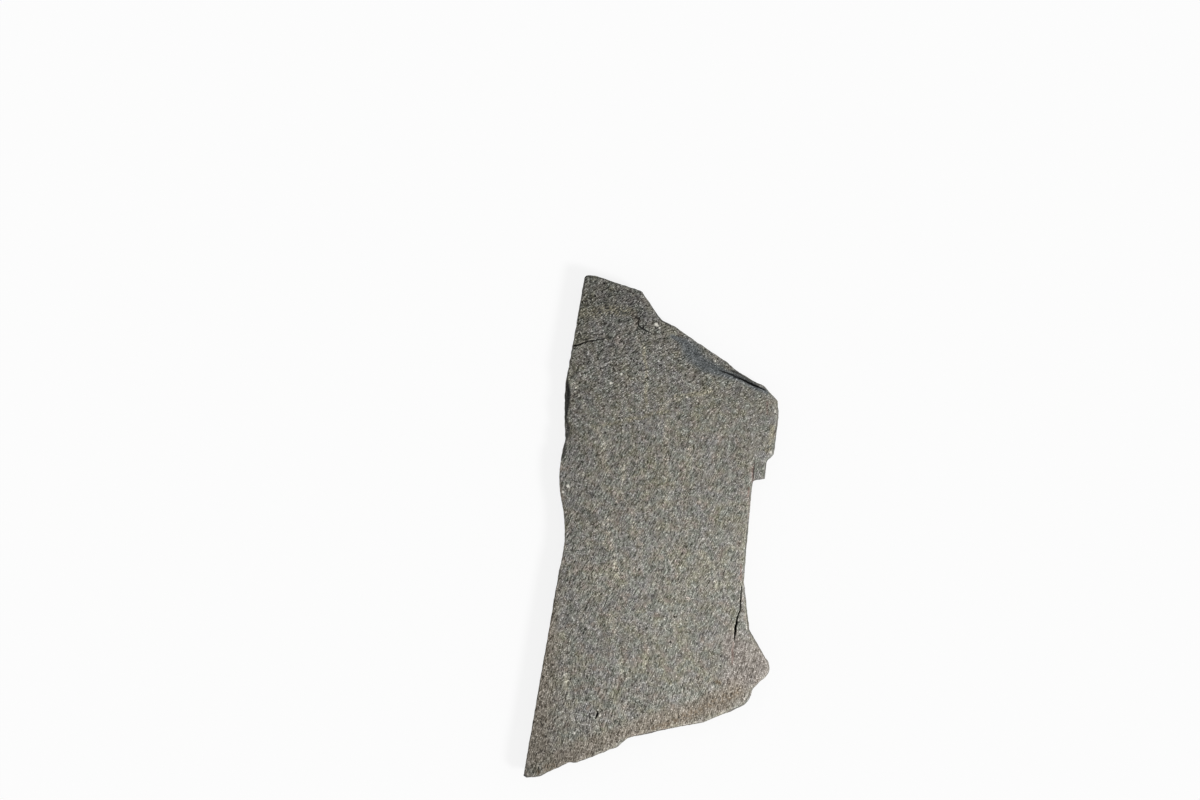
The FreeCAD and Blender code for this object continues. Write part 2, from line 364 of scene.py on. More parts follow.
def select_points(piece, chosen):
    """Leaves a piece in edit mode with only the chosen points selected."""
    work_on(piece)
    bpy.ops.object.mode_set(mode="EDIT")
    bpy.ops.mesh.select_mode(type="VERT")
    bpy.ops.mesh.select_all(action="DESELECT")
    bpy.ops.object.mode_set(mode="OBJECT")
    piece.data.vertices.foreach_set("select", chosen)
    bpy.ops.object.mode_set(mode="EDIT")


chosen = np.zeros(len(places), bool)
for line, _ in GROOVES.values():
    chosen |= measure_line(places[:, :2], line)[0] < FINE_REACH
for spot in PITS + QUARTZ:
    chosen |= measure_spot(places[:, :2], spot) < FINE_REACH
chosen &= places[:, 2] > TREAD - CARVING_REACH
select_points(stone, chosen)
bpy.ops.mesh.subdivide(number_cuts=FINE_CUTS)
bpy.ops.object.mode_set(mode="OBJECT")
triangles = sum(len(face.vertices) - 2 for face in stone.data.polygons)
print("points along the cracks:", len(stone.data.vertices) - len(places), "more")
print("triangles:", triangles, "of at most", MOST_TRIANGLES)

# %% [markdown]
# ## The riven tread
#
# Splitting leaves the tread nearly flat, with slow waves, low scales where one leaf of stone ends and the
# next begins, and a sugary grain of quartz. Sculpting each grain by hand would take days, and bump alone
# would vanish at the edge of the stone. So each of these is a Displace modifier with its own texture, from
# the largest form to the smallest, drawn out along the direction in which the grains lie.

# %% Cut the tread in layers
LINEATION = math.radians(66)
DRAWN_OUT = (2.0, 1, 1)


def noise_texture(name, size, octaves, basis="ORIGINAL_PERLIN"):
    """A cloud texture whose lumps are about one size across."""
    texture = bpy.data.textures.new(name, "CLOUDS")
    texture.noise_scale = size
    texture.noise_depth = octaves
    texture.noise_basis = basis
    return texture


def ruler(name, stretch=(1, 1, 1), turn=0.0):
    """An empty that a texture is laid along, stretched and turned about the upright."""
    bpy.ops.object.empty_add(rotation=(0, 0, turn))
    empty = bpy.context.object
    empty.name = name
    empty.scale = stretch
    bpy.context.view_layer.update()
    return empty


def cut(piece, texture, depth, group, along, direction="Z", level=1.0):
    """Carves a texture into a piece by a depth: what is as pale as the level stays, darker goes in."""
    apply_modifier(
        piece,
        "DISPLACE",
        texture=texture,
        texture_coords="OBJECT",
        texture_coords_object=along,
        vertex_group=group,
        direction=direction,
        mid_level=level,
        strength=depth,
    )
    print("cut", texture.name, "to a depth of", round(depth / MM, 2), "mm")


plain = ruler("plain_ruler")
slanted = ruler("slanted_ruler", stretch=DRAWN_OUT, turn=LINEATION)
TREAD_LAYERS = (
    ("waves", plain, 2.6 * MM, {"size": 110 * MM, "octaves": 1}),
    ("scales", slanted, 1.3 * MM, {"size": 26 * MM, "octaves": 2, "basis": "VORONOI_F1"}),
    ("dimples", slanted, 1.2 * MM, {"size": 8 * MM, "octaves": 2}),
    ("grain", slanted, 1.4 * MM, {"size": 2.4 * MM, "octaves": 1}),
)
for name, along, depth, form in TREAD_LAYERS:
    cut(stone, noise_texture(name, **form), depth, "tread", along)

# %% [markdown]
# ## Cracks and pits
#
# Frost has opened a crack beside the waist, a hairline runs in from the left edge of the head, a small
# flake has sprung loose beside the notch, and a few grains have fallen out. A knife tool would leave a sharp
# even trench. So each is chalked on as a vertex group whose weight fades from its middle line, and the group
# is pushed straight down.

# %% Carve the cracks
STEEPNESS = 1.8
WOBBLE = 0.5 * MM
WOBBLE_SIZE = 5 * MM
PIT_DEPTH = 2.2 * MM
PIT_SHADE = 0.8


def push(piece, group, depth):
    """Moves a vertex group straight down by a depth."""
    apply_modifier(piece, "DISPLACE", vertex_group=group, direction="Z", mid_level=0.0, strength=-depth)


def wobbled(places, size, reach):
    """Flat places shifted a little this way and that, so that what is drawn on them wanders."""
    shifts = [noise.noise_vector(Vector(place) / size) for place in places]
    return places[:, :2] + reach * np.array(shifts)[:, :2]


def groove(piece, name, line, depth):
    """Carves a groove along a line, deepest where the line is widest."""
    places, _ = points_of(piece)
    gap, width = measure_line(wobbled(places, WOBBLE_SIZE, WOBBLE), line)
    widest = max(point[2] for point in line) * MM
    weights = np.clip(STEEPNESS * (1 - (gap / width) ** 2), 0, 1) * np.sqrt(width / widest)
    weights[places[:, 2] < TREAD - CARVING_REACH] = 0
    push(piece, chalk(piece, name, weights), depth)
    print("carved", name, "into", int(np.count_nonzero(weights)), "points")
    return weights


def dots(piece, spots):
    """1 in the middle of each of many round spots, falling to 0 at its edge."""
    places, _ = points_of(piece)
    weights = np.zeros(len(places))
    for spot in spots:
        weights = np.maximum(weights, 1 - (measure_spot(places[:, :2], spot) / (spot[2] * MM)) ** 2)
    weights[places[:, 2] < TREAD - CARVING_REACH] = 0
    return weights


shade = np.zeros(len(stone.data.vertices))
for name, (line, depth) in GROOVES.items():
    shade = np.maximum(shade, groove(stone, name, line, depth))
pits = dots(stone, PITS)
push(stone, chalk(stone, "pits", pits), PIT_DEPTH)
store(stone, "crack_shade", np.maximum(shade, PIT_SHADE * pits))

# %% [markdown]
# ## The broken rim
#
# A hammered edge doesn't break smooth: it tears along the strata, so it is rough and thinly layered. The
# same kind of layers do it, but pushed in along each face's normal, and with one texture squeezed flat in
# height so that it runs round the stone in thin courses.

# %% Tear the rim
RIM_LEVEL = 0.68
COURSE_FORM = (22, 22, 1)

bedding = ruler("strata_ruler", stretch=COURSE_FORM)
RIM_LAYERS = (
    ("courses", bedding, 1.8 * MM, {"size": 2.8 * MM, "octaves": 2}),
    ("fracture", plain, 2.2 * MM, {"size": 8 * MM, "octaves": 3}),
)
for name, along, depth, form in RIM_LAYERS:
    cut(stone, noise_texture(name, **form), depth, "rim", along, "NORMAL", RIM_LEVEL)

# %% [markdown]
# ## Back to size
#
# All that carving has taken a millimetre or two off every side. A mason would have started from a larger
# block. Here the finished stone is stretched back to the size of the blank. That is less than a hundredth
# across and about a twentieth in height, too little to show, and the place and scale are then applied so
# that both end up in the mesh.

# %% Bring the stone back to its size
SLACK = 0.02 * MM


def fit_to_box(piece, low, high):
    """Stretches a piece to fill a box, but for a little slack."""
    places, _ = points_of(piece)
    now_low, now_high = Vector(places.min(axis=0)), Vector(places.max(axis=0))
    slack = Vector((SLACK, SLACK, SLACK))
    wanted_low, wanted_high = Vector(low) + slack, Vector(high) - slack
    now, wanted = now_high - now_low, wanted_high - wanted_low
    piece.scale = [wanted[axis] / now[axis] for axis in range(3)]
    piece.location = [wanted_low[axis] - now_low[axis] * piece.scale[axis] for axis in range(3)]
    print("stretched by", [round(factor, 4) for factor in piece.scale])
    work_on(piece)
    bpy.ops.object.transform_apply(location=True, rotation=False, scale=True)


fit_to_box(stone, cad_low, cad_high)

# %% [markdown]
# ## Where shade and dirt gather
#
# The finish darkens the hollows, as painted shade together with the soil that they hold, and makes the
# grains' tops paler, as if scuffed, so it has to know which is which. Blender can shade by the angle between
# faces, but that would miss wide hollows. So a copy of the stone is smoothed, and every point stores how far
# it lies under that smooth skin.

# %% Store the hollows
HOLLOW_ROUNDS = 12
HOLLOW_DEPTH = 0.6 * MM


def hollows(piece, rounds, deepest):
    """0.5 on the smooth skin of a piece, 1 in its deepest hollows and 0 on its highest grains."""
    worn = bpy.data.objects.new("worn_copy", piece.data.copy())
    bpy.context.scene.collection.objects.link(worn)
    apply_modifier(worn, "SMOOTH", factor=WORN_SHARE, iterations=rounds)
    places, normals = points_of(piece)
    smooth, _ = points_of(worn)
    bpy.data.objects.remove(worn)
    below = np.sum((smooth - places) * normals, axis=1)
    return np.clip(0.5 + 0.5 * below / deepest, 0, 1)


store(stone, "hollow", hollows(stone, HOLLOW_ROUNDS, HOLLOW_DEPTH))

# %% [markdown]
# ## Stains, veins and painted shade
#
# Some colours keep to places: a bluish break at the cleft, dark partly in its own colour and partly in
# painted shade with a bluish sky light, painted shadow on the flakes at the left and along the cleft's lip,
# rust along the foot and beside the crack, a yellowish seam across the head, pale veins down the tread, a few
# dull patches that are partly painted shade, and single grains of white quartz and pink feldspar. They could
# be painted by hand in vertex paint mode. Here the brush strokes are rows of points as above, and each colour
# gets an attribute of its own. The strokes wander a little, and the finish breaks them up into grains.

# %% Mark the breaks and the stains
STAINS = {
    # the bluish break at the cleft: dark and blue partly in its own colour, partly as painted shade lit by a
    # bluish sky
    "blue_break": (
        (
            (28, 246, 2),
            (43, 238.5, 6),
            (52, 228, 10),
            (61, 217, 10),
            (72, 209, 9),
            (85, 203, 6.5),
            (98, 199, 5),
        ),
        ((98, 199, 5), (116, 191, 4.5), (135, 182, 4), (150, 175, 2.5)),
    ),
    # painted shadow: black on the upper flake at the left, which faces away from the lamp, and along the
    # cleft's shadowed lip
    "dark_break": (
        ((-112, 204, 5), (-111, 171, 9), (-109, 146, 9)),
        ((105, 202.8, 0.8), (127, 193.4, 1.1), (149, 183.8, 0.9)),
    ),
    # painted shade: grey on the two lower flakes at the left, which face away from the lamp
    "grey_break": (
        ((-107, 136, 8), (-110, 111, 8), (-116, 92, 5)),
    ),
    "rust": (
        ((2, -262, 2.5), (14, -259, 4), (35, -251, 4.5), (52, -243.5, 5), (66, -235.5, 4.5)),
        ((66, -235.5, 4.5), (80, -229, 4), (96, -222, 5), (114, -213, 3.5)),
        ((81, -197, 2.5), (88, -202, 2.5)),
        ((-146, -319, 3), (-134, -315, 5), (-124, -309, 3)),
    ),
    "red": (
        ((134.2, 86, 0.5), (132.4, 76, 1.4), (131.6, 59, 1.9)),
        ((127.0, 50, 0.7), (125.6, 40, 0.9)),
        ((150.5, 162, 0.7), (150.8, 148, 1.0)),
        ((116.2, -50, 0.6), (116.0, -70, 0.7)),
        ((107.0, -150, 0.8), (105.6, -168, 1.1), (104.0, -180, 0.6)),
    ),
    "rose": (
        ((104, -150, 14), (120, -172, 26), (134, -178, 26), (112, -200, 20)),
        ((-46, 241, 4), (-42, 244, 5.5), (-41, 237, 4.5)),
    ),
    "brown": (
        ((-124, 60, 6), (-128, -20, 12), (-138, -148, 14), (-147, -215, 18), (-154, -290, 24)),
        ((-120, -305, 14), (-40, -268, 9), (20, -250, 12), (70, -236, 14), (110, -214, 13)),
        ((-24, 276, 3), (-18, 268, 4), (-20, 260, 2)),
    ),
}
print("kinds of stain:", len(STAINS))

# %% Mark the veins, the dull patches and the pink grains
STAINS["olive"] = (
    ((-97, 276, 4), (-74, 279, 6), (-55, 283, 7), (-36, 280, 6), (-22, 279, 4)),
    ((31, 169, 2), (57, 171.5, 2.5), (79, 176, 2)),
    ((-10, 236, 1.5), (-5.6, 206, 2), (-6.5, 160, 1.5)),
    ((-60, 130, 2), (-20, 142, 3), (24, 150, 2)),
    ((157, 128, 3), (155.5, 113, 4.5), (152, 100, 5)),
)
STAINS["veins"] = (
    ((-10, 236, 2.5), (-5.6, 206, 3), (-5.6, 171, 3), (-8, 150, 2)),
    ((9.5, 132, 2), (14, 154, 2.5), (31, 169, 3), (57, 171.5, 3), (79, 176.4, 2.5)),
    ((-38, 80, 3.5), (-36, 58, 4), (-38, 37, 3)),
    ((-103, 188, 4.5), (-88, 162, 3), (-75, 132, 3), (-62, 115, 3), (-59, 76, 3.5), (-61, 58, 2)),
    ((-60, 11, 4), (-51, -24, 3), (-45, -54, 3.5), (-47, -67, 3)),
    ((-25, 6.5, 4), (-21, -6.5, 3)),
    ((-10, -24, 2.5), (-14, -54, 2)),
    ((20, 136, 2.5), (18, 102, 3), (20, 58, 3), (18, 32, 2)),
    ((48.5, 102, 3), (51, 76, 3.5)),
    ((-112, -162, 3), (-110, -206, 3), (-107.5, -232, 4)),
    ((-39, -175, 3.5), (-36, -197, 4)),
    ((-53, -115, 3), (-47, -145, 2.5)),
    ((-5.6, -162, 3), (-8, -184, 2)),
    ((66, -32, 3.5), (83, -54, 2.5), (85, -80, 2)),
)
# dull patches: some are painted shade, such as the shadowed hollow beside the small flake at the head
STAINS["dull"] = (
    ((-24, 279, 3), (-18.6, 275, 5.5), (-16, 268, 4)),
    ((-90, 18, 5), (-75, 11, 6)),
    ((-62, -26, 4), (-62, -36, 5)),
    ((-91, -128, 2.5), (-89, -136, 3)),
    ((46, -24, 4.5), (48, -30, 3)),
    ((-104, -103, 4), (-102, -110, 4)),
)
FELDSPAR = (
    (-43.5, 239.5, 4.4),
    (-43.0, 244.5, 4.4),
    (-44.6, 31.7, 3.0),
    (14.3, -39.5, 3.2),
    (-44.6, -53.9, 3.6),
    (32.5, -64.0, 2.8),
    (47.8, -92.9, 3.2),
    (60.9, 31.7, 3.4),
)
print("kinds of stain:", len(STAINS), "pink grains:", len(FELDSPAR))

# %% Brush them on
STROKE_WOBBLE = 2.2 * MM
STROKE_WOBBLE_SIZE = 14 * MM
STROKE_SOFT = 0.7
QUARTZ_EDGE = (0.0, 0.4)


def brush(flat, strokes, soft):
    """How strongly strokes colour flat places: 1 along a stroke, fading out at its edge."""
    colour = np.zeros(len(flat))
    for line in strokes:
        gap, width = measure_line(flat, line)
        colour = np.maximum(colour, fade(gap / width, (1 + soft, 1 - soft)))
    return colour


places, _ = points_of(stone)
wandering = wobbled(places, STROKE_WOBBLE_SIZE, STROKE_WOBBLE)
for name, strokes in STAINS.items():
    store(stone, name, brush(wandering, strokes, STROKE_SOFT))
store(stone, "white_grains", fade(dots(stone, QUARTZ), QUARTZ_EDGE))
store(stone, "pink_grains", dots(stone, FELDSPAR))

# %% [markdown]
# ## The colours of the stone
#
# The skin is a fine mix of pale quartz, dark mica and a little feldspar, so from a step away it is a warm
# grey with pepper and salt in it. The head is darker than the foot, the fresh break at the cleft is bluish
# and dark, partly in its own colour and partly in painted shade, some breaks carry painted shadow, and rust
# has crept in from some of the edges. A painted image would fix one resolution, so all of it is worked out
# from where a point lies on the stone. The small class below lets shader sums be written as plain sums.


# %% Write shader sums as Python sums
class Shade:
    """A socket of a node tree: plain sums with it add Math nodes, and add() adds any other node."""

    def __init__(self, tree, socket=None):
        self.tree = tree
        self.socket = socket

    def add(self, kind, settings=None, sockets=None, output=0):
        """Adds a node, sets it up, fills its sockets with values or links, and gives one output."""
        node = self.tree.nodes.new("ShaderNode" + kind)
        for name, value in (settings or {}).items():
            if name == "stops":
                self.set_stops(node.color_ramp, value)
            else:
                setattr(node, name, value)
        for name, value in (sockets or {}).items():
            if isinstance(value, Shade):
                self.tree.links.new(value.socket, node.inputs[name])
            else:
                node.inputs[name].default_value = value
        return Shade(self.tree, node.outputs[output]) if node.outputs else None

    @staticmethod
    def set_stops(ramp, stops):
        """Sets a ramp's stops, given as place and grey level."""
        while len(ramp.elements) < len(stops):
            ramp.elements.new(1.0)
        for element, (place, level) in zip(ramp.elements, stops):
            element.position = place
            element.color = (level, level, level, 1)

    def also(self, output):
        """Another output of the same node."""
        return Shade(self.tree, self.socket.node.outputs[output])

    def maths(self, operation, first, second):
        """A Math node on two values."""
        return self.add("Math", {"operation": operation}, {0: first, 1: second})

    def __add__(self, other):
        return self.maths("ADD", self, other)

    def __radd__(self, other):
        return self.maths("ADD", other, self)

    def __sub__(self, other):
        return self.maths("SUBTRACT", self, other)

    def __rsub__(self, other):
        return self.maths("SUBTRACT", other, self)

    def __mul__(self, other):
        return self.maths("MULTIPLY", self, other)

    def __rmul__(self, other):
        return self.maths("MULTIPLY", other, self)


finish = bpy.data.materials.new("riven_stone")
finish.use_nodes = True
finish.node_tree.nodes.clear()
print("empty finish:", finish.name)

# %% [markdown]
# ## What the finish reads
#
# The finish has to know where on the stone a point lies, and what was stored there. An image would need the
# stone unwrapped. Here the point's own coordinates do, as shares of the stone's width and length, and an
# Attribute node brings in each stored number.

# %% Read the stone
STORED = ("hollow", "torn_face", "scars", "crack_shade", "white_grains", "pink_grains", *STAINS)


def share(value, low, high):
    """How far a value lies from low to high, from 0 to 1."""
    return value.add("MapRange", None, {"Value": value, "From Min": low, "From Max": high})


def read_stone(tree):
    """What the finish reads off the stone: where a point lies, and the numbers stored there."""
    place = Shade(tree).add("TexCoord", output="Object")
    x = place.add("SeparateXYZ", None, {"Vector": place}, "X")
    skin = SimpleNamespace(place=place)
    skin.across = share(x, cad_low.x, cad_high.x)
    skin.up = share(x.also("Y"), cad_low.y, cad_high.y)
    for name in STORED:
        setattr(skin, name, place.add("Attribute", {"attribute_name": name}, None, "Fac"))
    return skin


skin = read_stone(finish.node_tree)
print("stored numbers that the finish reads:", len(STORED))

# %% [markdown]
# ## The needles
#
# The crystals of the stone lie along its lineation, like needles, and this direction turns on the way from
# the foot to the head. Drawing them one by one would take too long, and plain noise would look like sand. So
# noise is stretched along a turned ruler, once for each of three directions, and one fades into the next.

# %% Comb the needles
FLOW_FOOT = math.radians(73)
FLOW_LOW = math.radians(63)
FLOW_HIGH = math.radians(33)
FLOW_STARTS = (0.15, 0.4)
FLOW_TURNS = (0.6, 0.85)
NEEDLES = {"size": 1.15 * MM, "detail": 1, "roughness": 0.6}
NEEDLE_FORM = (6, 1, 1)
HEAD_NEEDLES = {"size": 1.1 * MM, "detail": 1, "roughness": 0.6}
HEAD_NEEDLE_FORM = (5.2, 1, 1)
NEEDLE_EDGES = (0.34, 0.76)


def between(value, low, high):
    """0 below low, 1 above high, and a soft step in between."""
    return value.add(
        "MapRange",
        {"interpolation_type": "SMOOTHSTEP"},
        {"Value": value, "From Min": low, "From Max": high},
    )


def stretched(place, turn, stretch):
    """The place laid out along a turned ruler, so that what is drawn on it is stretched along the ruler."""
    return place.add(
        "Mapping",
        {"vector_type": "TEXTURE"},
        {"Vector": place, "Rotation": (0, 0, turn), "Scale": stretch},
    )


def speckle(place, size, detail, roughness=0.5):
    """Soft noise from 0 to 1 whose lumps are about one size across."""
    sockets = {"Vector": place, "Scale": 1 / size, "Detail": detail, "Roughness": roughness}
    return place.add("TexNoise", None, sockets, "Fac")


def comb(skin):
    """Adds the needles to the skin, and how near the head a point lies."""
    skin.headward = between(skin.up, *FLOW_TURNS)
    midward = between(skin.up, *FLOW_STARTS)
    foot = speckle(stretched(skin.place, FLOW_FOOT, NEEDLE_FORM), **NEEDLES)
    low = speckle(stretched(skin.place, FLOW_LOW, NEEDLE_FORM), **NEEDLES)
    high = speckle(stretched(skin.place, FLOW_HIGH, HEAD_NEEDLE_FORM), **HEAD_NEEDLES)
    skin.combed = foot + midward * (low - foot) + skin.headward * (high - low)
    skin.needles = between(skin.combed, *NEEDLE_EDGES)


comb(skin)
print("nodes with the needles:", len(finish.node_tree.nodes))

# %% [markdown]
# ## Pepper and salt
#
# Between the needles lie single grains, each with its own shade, and a few of them are black mica. A few
# others are bright, partly pale quartz and partly painted glints, the highlights that grains would catch.
# Dots of noise would be too soft for them. Voronoi cells have edges like real grains, and each gets
# a random level. Everything is summed up in one number, the light of the grain, which is about 1 on average.
# It varies most at the head and least on the smooth fresh break.

# %% Scatter the single grains
GRAIN_SIZE = 1.3 * MM
GRAIN_FORM = (1.3, 1, 1)
FLECK_SIZE = 1.1 * MM
MICA = (0.16, 0.12)
GLINT = (0.9, 0.94)
GRAIN_WEIGHT = 0.85
NEEDLE_WEIGHT = 1.45
MICA_WEIGHT = 0.25
GLINT_WEIGHT = 1.6
HEAD_GLINT = 0.5
GRAIN_MEAN = 0.985
CONTRAST_UP = ((0, 0.96), (0.25, 0.96), (0.6, 0.95), (1, 1.32))
CONTRAST_ACROSS = ((0, 1.12), (1, 0.84))
BREAK_SMOOTHNESS = 0.25


def levels(value, stops):
    """A grey level read off a ramp."""
    return value.add("ValToRGB", {"stops": stops}, {"Fac": value})


def crystals(place, size):
    """A random level for each of many small grains of about one size."""
    cells = place.add("TexVoronoi", None, {"Vector": place, "Scale": 1 / size}, "Color")
    return cells.add("SeparateColor", None, {"Color": cells}, "Red")


def scatter(skin):
    """Adds the single grains to the skin, and the light that the whole grain gives."""
    skin.grains = crystals(stretched(skin.place, FLOW_LOW, GRAIN_FORM), GRAIN_SIZE)
    flecks = crystals(skin.place, FLECK_SIZE)
    # glints: bright specks, partly pale quartz and partly painted highlights
    glints = between(flecks, *GLINT) * (GLINT_WEIGHT + skin.headward * HEAD_GLINT)
    grain = skin.grains * GRAIN_WEIGHT + skin.needles * NEEDLE_WEIGHT
    grain = grain - between(flecks, *MICA) * MICA_WEIGHT + glints - GRAIN_MEAN
    contrast = levels(skin.up, CONTRAST_UP) * levels(skin.across, CONTRAST_ACROSS)
    contrast = contrast * (1 - skin.blue_break * BREAK_SMOOTHNESS)
    skin.light = 1 + grain * contrast


scatter(skin)
print("nodes with the single grains:", len(finish.node_tree.nodes))

# %% [markdown]
# ## Stains that keep to grains
#
# Rust and red creep from grain to grain, a vein shows most on the needles, and the painted shadow on a break
# ends where its scar does. Finer strokes could follow that, but there would be thousands. So each brushed
# stain is multiplied by the noise, the grains or the mask that it keeps to.

# %% Break up the stains
SPOTS = {"size": 12 * MM, "detail": 2.5, "roughness": 0.55}
RUST_FLAKES = {"size": 5 * MM, "detail": 2, "roughness": 0.6}
RUST_GRAIN = 0.25
RUST_EDGES = (0.54, 0.73)
RED_GRAIN = 0.3
RED_EDGES = (0.4, 0.75)
OLIVE_EDGES = (0.5, 1.1)
VEIN_BASE = 0.35
VEIN_NEEDLES = 0.9


def break_up(skin):
    """Adds the stains that keep to some of the grains, and the painted shadows of the breaks, which keep to
    the scars.
    """
    skin.spots = speckle(skin.place, **SPOTS)
    rust_flakes = speckle(skin.place, **RUST_FLAKES) + skin.grains * RUST_GRAIN
    skin.rusty = skin.rust * between(rust_flakes, *RUST_EDGES)
    skin.reddish = skin.red * between(skin.spots + skin.grains * RED_GRAIN, *RED_EDGES)
    skin.olive_grains = skin.olive * between(skin.needles + skin.spots, *OLIVE_EDGES)
    skin.veined = skin.veins * (VEIN_BASE + skin.needles * VEIN_NEEDLES)
    # black is painted shadow on the scars of the upper left flake and of the cleft's lip
    skin.black = skin.dark_break * skin.scars
    # grey is painted shade on the scars of the two lower flakes at the left
    skin.grey = skin.grey_break * skin.scars


break_up(skin)
print("nodes with the stains:", len(finish.node_tree.nodes))

# %% [markdown]
# ## How pale the stone is
#
# The tone is one grey level: darker towards the head and the left edge, mottled, lined with thin courses on
# the rim, darker in the hollows and paler on the grains' tops, which is painted shade along with soil and
# scuffing. Every break, stain and vein then makes it darker or paler by its own share, and on some breaks
# that share is painted shadow.
# Mixing colours one over the other would lose the grain below, so all of them are factors of one product.

# %% Mix the tone
TONE_UP = ((0, 0.225), (0.12, 0.255), (0.4, 0.242), (0.62, 0.202), (0.8, 0.165), (1, 0.106))
TONE_ACROSS = ((0, 0.58), (0.3, 0.82), (0.6, 0.98), (1, 1.06))
CLOUDS = {"size": 40 * MM, "detail": 3}
CLOUD_WEIGHT = 0.5
BLOTCHES = {"size": 8 * MM, "detail": 2}
BLOTCH_WEIGHT = 0.6
VEIN_RUN = math.radians(86)
VEIN_FORM = (2.4, 1, 1)
MOTTLE_BASE = 0.71
MOTTLE_WEIGHT = 0.5
COURSES = {"size": 2.2 * MM, "detail": 3, "roughness": 0.65}
COURSE_EDGES = (0.34, 0.66)
COURSE_DARK = 0.6
COURSE_PALE = 0.9
GRAIN_TOP = 1.3
HOLLOW_SHADE_AND_DIRT = 0.6
TONE_CHANGES = {
    "crack_shade": -0.82,
    "blue_break": -0.33,
    # black darkens the tone as painted shadow
    "black": -0.78,
    # grey darkens the tone as painted shade
    "grey": -0.2,
    "rusty": -0.32,
    "reddish": -0.45,
    "brown": -0.05,
    "rose": 0.1,
    "olive": 0.08,
    "pink_grains": 0.55,
    "veined": 0.35,
    # the dull patches darken partly as painted shade
    "dull": -0.28,
}


def mix_tone(skin):
    """The grey level of the stone."""
    drawn_out = stretched(skin.place, VEIN_RUN, VEIN_FORM)
    mottle = speckle(skin.place, **CLOUDS) * CLOUD_WEIGHT + speckle(drawn_out, **BLOTCHES) * BLOTCH_WEIGHT
    tone = levels(skin.up, TONE_UP) * levels(skin.across, TONE_ACROSS)
    tone = tone * (MOTTLE_BASE + mottle * MOTTLE_WEIGHT) * skin.light
    courses = between(speckle(stretched(skin.place, 0, COURSE_FORM), **COURSES), *COURSE_EDGES)
    tone = tone * (1 - skin.torn_face * (COURSE_DARK - courses * COURSE_PALE))
    # painted shade in the hollows, along with the soil there; the highest grains come out paler
    tone = tone * (GRAIN_TOP - skin.hollow * HOLLOW_SHADE_AND_DIRT)
    for name, change in TONE_CHANGES.items():
        tone = tone * (1 + getattr(skin, name) * change)
    return tone


tone = mix_tone(skin)
print("nodes with the tone:", len(finish.node_tree.nodes))

# %% [markdown]
# ## The tint of the stone
#
# The tint is a colour near white that the tone is multiplied by, with green kept close to 1 so that it
# changes the hue and hardly the brightness. Warm grey turns yellowish, bluish, greenish and pinkish in
# patches, and the stains come on top, with the bluish break at the cleft, whose blue is partly its own and
# partly painted sky light in shade. Pale grains are quartz and painted glints, which have little hue of their
# own, so the tint is drawn back towards white on them and pushed out on the dark grains.

# %% Mix the tint
NO_TINT = (1, 1, 1, 1)
WARM_GREY = (1.062, 1.0, 0.86, 1)
YELLOWISH = (1.03, 1.0, 0.73, 1)
BLUISH = (1.03, 1.0, 0.95, 1)
GREENISH = (0.985, 1.0, 0.86, 1)
PINKISH = (1.16, 1.0, 0.85, 1)
OLIVE = (1.09, 1.0, 0.69, 1)
ROSE = (1.13, 1.0, 0.89, 1)
BROWN = (1.16, 1.0, 0.8, 1)
RUST = (1.27, 1.0, 0.7, 1)
RED = (1.5, 1.0, 0.84, 1)
# blue of the cleft's break: partly its own colour, partly painted sky light in shade
BLUE_BREAK_AND_SKY_SHADE = (0.91, 1.0, 1.04, 1)
WIDE_PATCHES = {"size": 50 * MM, "detail": 2}
WIDE_WEIGHT = 0.45
SMALL_PATCHES = {"size": 13 * MM, "detail": 2.5}
SMALL_WEIGHT = 0.75
YELLOWISH_EDGES = (0.55, 0.85)
BLUISH_EDGES = (0.65, 0.4)
GREENISH_EDGES = (0.5, 0.36)
PINKISH_EDGES = (0.54, 0.72)
PINKISH_LOST_AT_HEAD = 0.6
FELDSPAR_PINK = 0.9
STAIN_TINTS = (
    ("olive_grains", 0.9, OLIVE),
    ("veined", 0.3, OLIVE),
    ("rose", 0.85, ROSE),
    ("brown", 0.8, BROWN),
    ("rusty", 0.9, RUST),
    ("reddish", 0.8, RED),
    ("blue_break", 0.9, BLUE_BREAK_AND_SKY_SHADE),
)
DARKEST_GRAIN = 0.3
HUE_FALL = -0.35


def mixed(factor, first, second, clamped=True):
    """Two colours mixed by a factor, which may go past the second colour if it isn't clamped."""
    settings = {"data_type": "RGBA", "clamp_factor": clamped}
    return factor.add("Mix", settings, {0: factor, 6: first, 7: second}, 2)


def mix_tint(skin):
    """The colour that the grey level is multiplied by."""
    patches = speckle(skin.place, **WIDE_PATCHES) * WIDE_WEIGHT
    patches = patches + speckle(skin.place, **SMALL_PATCHES) * SMALL_WEIGHT
    tint = mixed(between(patches, *YELLOWISH_EDGES), WARM_GREY, YELLOWISH)
    tint = mixed(between(patches, *BLUISH_EDGES), tint, BLUISH)
    tint = mixed(between(skin.spots, *GREENISH_EDGES), tint, GREENISH)
    pink = between(skin.spots, *PINKISH_EDGES) * (1 - skin.headward * PINKISH_LOST_AT_HEAD)
    tint = mixed(pink + skin.pink_grains * FELDSPAR_PINK, tint, PINKISH)
    for name, strength, colour in STAIN_TINTS:
        tint = mixed(getattr(skin, name) * strength, tint, colour)
    light = skin.light.maths("MAXIMUM", skin.light, DARKEST_GRAIN)
    vivid = light.maths("POWER", light, HUE_FALL)
    return mixed(vivid, NO_TINT, tint, clamped=False)


tint = mix_tint(skin)
print("nodes with the tint:", len(finish.node_tree.nodes))

# %% [markdown]
# ## The finish
#
# The tone and the tint are multiplied, the white grains are laid over them, and the finest grain, too small
# for the skin's squares, goes into a Bump node. The stone is matt, and its grains are not all equally rough.

